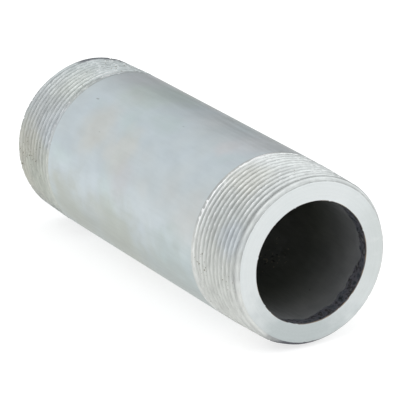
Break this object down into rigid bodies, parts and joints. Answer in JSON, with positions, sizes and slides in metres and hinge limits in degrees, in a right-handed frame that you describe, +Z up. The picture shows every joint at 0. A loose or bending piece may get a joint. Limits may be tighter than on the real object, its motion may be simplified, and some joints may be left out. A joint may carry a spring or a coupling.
{
  "type": "threaded pipe nipple",
  "caption": "Short length of heavy-wall steel pipe with a taper pipe thread cut on each end.",
  "frame": {"origin": "on the pipe's axis, half way along it", "axes": "+X along the pipe's axis, +Z up as the pipe lies on its side"},
  "size_m": [0.154, 0.0602, 0.0602],
  "materials": {
    "zinc_plated_steel": "satin",
    "dark_bore": "matte"
  },
  "bodies": {
    "root": {"threaded_pipe": "zinc_plated_steel", "bore_coat": "dark_bore"}
  },
  "joints": []
}
